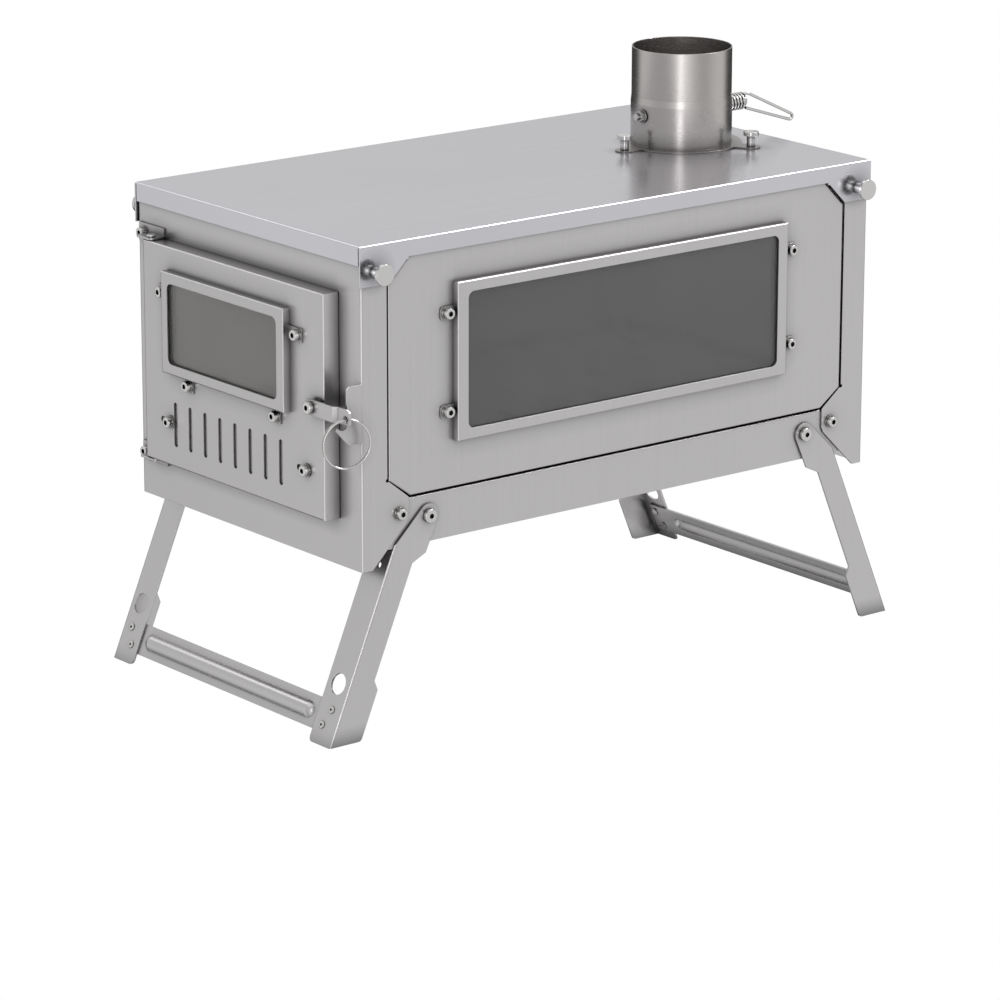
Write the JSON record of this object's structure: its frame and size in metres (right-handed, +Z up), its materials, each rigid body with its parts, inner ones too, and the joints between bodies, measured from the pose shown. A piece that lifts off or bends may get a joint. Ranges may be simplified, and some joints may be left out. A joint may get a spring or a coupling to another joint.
{
  "type": "folding camping wood stove",
  "caption": "Folding titanium camp stove: a sheet-metal firebox with a hinged glazed door, a long side window, a damped flue collar and fold-under legs.",
  "frame": {"origin": "on the ground, under the middle of the whole stove's outline", "axes": "+Z up, the door faces -Y and the side window faces +X; the stove is longest along Y"},
  "size_m": [0.237, 0.4378, 0.344],
  "materials": {
    "titanium_sheet": "satin brushed titanium",
    "cooktop_titanium": "satin titanium, a little smoother",
    "collar_titanium": "satin titanium, drawn",
    "steel_hardware": "polished stainless steel",
    "grate_steel": "satin",
    "side_window_glass": "clear heat-proof glass over a dark firebox",
    "door_window_glass": "clear heat-proof glass"
  },
  "bodies": {
    "stove": {"cooktop": "cooktop_titanium", "front_panel": "titanium_sheet", "rear_panel": "titanium_sheet", "window_side_panel": "titanium_sheet", "plain_side_panel": "titanium_sheet", "floor_pan": "titanium_sheet", "fire_grate": "grate_steel", "side_window_frame": "titanium_sheet", "side_window_glass": "side_window_glass", "side_window_screws": "steel_hardware", "ear_screws": "steel_hardware", "leg_pivot_screws": "steel_hardware", "corner_nuts": "steel_hardware", "hinge_brackets": "titanium_sheet", "hinge_pins": "steel_hardware", "hinge_bracket_screws": "steel_hardware", "flue_collar": "collar_titanium", "collar_nuts": "steel_hardware"},
    "door": {"door_skin": "titanium_sheet", "door_window_frame": "titanium_sheet", "door_window_glass": "door_window_glass", "door_window_screws": "steel_hardware", "latch_screw": "steel_hardware"},
    "air_slider": {"air_slider": "titanium_sheet", "air_slider_screws": "steel_hardware"},
    "latch": {"latch_arm": "titanium_sheet"},
    "ring": {"split_ring": "steel_hardware"},
    "damper": {"damper_plate": "titanium_sheet", "damper_rivets": "steel_hardware", "damper_shaft": "steel_hardware", "damper_nut": "steel_hardware", "damper_handle": "steel_hardware"},
    "front_legs": {"front_leg_window_side": "titanium_sheet", "front_leg_plain_side": "titanium_sheet", "front_foot_bar": "titanium_sheet", "front_leg_rivets": "steel_hardware"},
    "rear_legs": {"rear_leg_window_side": "titanium_sheet", "rear_leg_plain_side": "titanium_sheet", "rear_foot_bar": "titanium_sheet", "rear_leg_rivets": "steel_hardware"},
    "thumb_screw_front_window_side": {"thumb_screw_front_window_side": "steel_hardware"},
    "thumb_screw_rear_window_side": {"thumb_screw_rear_window_side": "steel_hardware"},
    "thumb_screw_front_plain_side": {"thumb_screw_front_plain_side": "steel_hardware"},
    "thumb_screw_rear_plain_side": {"thumb_screw_rear_plain_side": "steel_hardware"},
    "collar_screw_front": {"collar_screw_front": "steel_hardware"},
    "collar_screw_right": {"collar_screw_right": "steel_hardware"},
    "collar_screw_left": {"collar_screw_left": "steel_hardware"}
  },
  "joints": [
    {"name": "door_hinge", "type": "hinge", "parent": "stove", "child": "door", "pos_m": [-0.0842, -0.20005, 0.1908], "axis": [0, 0, -1], "range_deg": [0, 120]},
    {"name": "air_slide", "type": "slide", "parent": "door", "child": "air_slider", "axis": [-1, 0, 0], "range_m": [0, 0.00737]},
    {"name": "latch_pivot", "type": "hinge", "parent": "door", "child": "latch", "pos_m": [0.0801, -0.20385, 0.1908], "axis": [0, -1, 0], "range_deg": [0, 22]},
    {"name": "ring_swing", "type": "hinge", "parent": "latch", "child": "ring", "pos_m": [0.11, -0.20485, 0.1894], "axis": [0, -1, 0], "range_deg": [0, 80]},
    {"name": "damper_turn", "type": "hinge", "parent": "stove", "child": "damper", "pos_m": [0, 0.1304, 0.3045], "axis": [0, 1, 0], "continuous": true},
    {"name": "front_leg_fold", "type": "hinge", "parent": "stove", "child": "front_legs", "pos_m": [0, -0.1459, 0.1238], "axis": [1, 0, 0], "range_deg": [0, 112.9]},
    {"name": "rear_leg_fold", "type": "hinge", "parent": "stove", "child": "rear_legs", "pos_m": [0, 0.1377, 0.1238], "axis": [-1, 0, 0], "range_deg": [0, 112.9]},
    {"name": "thumb_screw_front_window_side_turn", "type": "hinge", "parent": "stove", "child": "thumb_screw_front_window_side", "pos_m": [0.1074, -0.1836, 0.2694], "axis": [1, 0, 0], "continuous": true},
    {"name": "thumb_screw_rear_window_side_turn", "type": "hinge", "parent": "stove", "child": "thumb_screw_rear_window_side", "pos_m": [0.1074, 0.1754, 0.2694], "axis": [1, 0, 0], "continuous": true},
    {"name": "thumb_screw_front_plain_side_turn", "type": "hinge", "parent": "stove", "child": "thumb_screw_front_plain_side", "pos_m": [-0.1074, -0.1836, 0.2694], "axis": [-1, 0, 0], "continuous": true},
    {"name": "thumb_screw_rear_plain_side_turn", "type": "hinge", "parent": "stove", "child": "thumb_screw_rear_plain_side", "pos_m": [-0.1074, 0.1754, 0.2694], "axis": [-1, 0, 0], "continuous": true},
    {"name": "collar_screw_front_turn", "type": "hinge", "parent": "stove", "child": "collar_screw_front", "pos_m": [0, 0.0859, 0.285], "axis": [0, 0, 1], "continuous": true},
    {"name": "collar_screw_right_turn", "type": "hinge", "parent": "stove", "child": "collar_screw_right", "pos_m": [0.03854, 0.15265, 0.285], "axis": [0, 0, 1], "continuous": true},
    {"name": "collar_screw_left_turn", "type": "hinge", "parent": "stove", "child": "collar_screw_left", "pos_m": [-0.03854, 0.15265, 0.285], "axis": [0, 0, 1], "continuous": true}
  ]
}
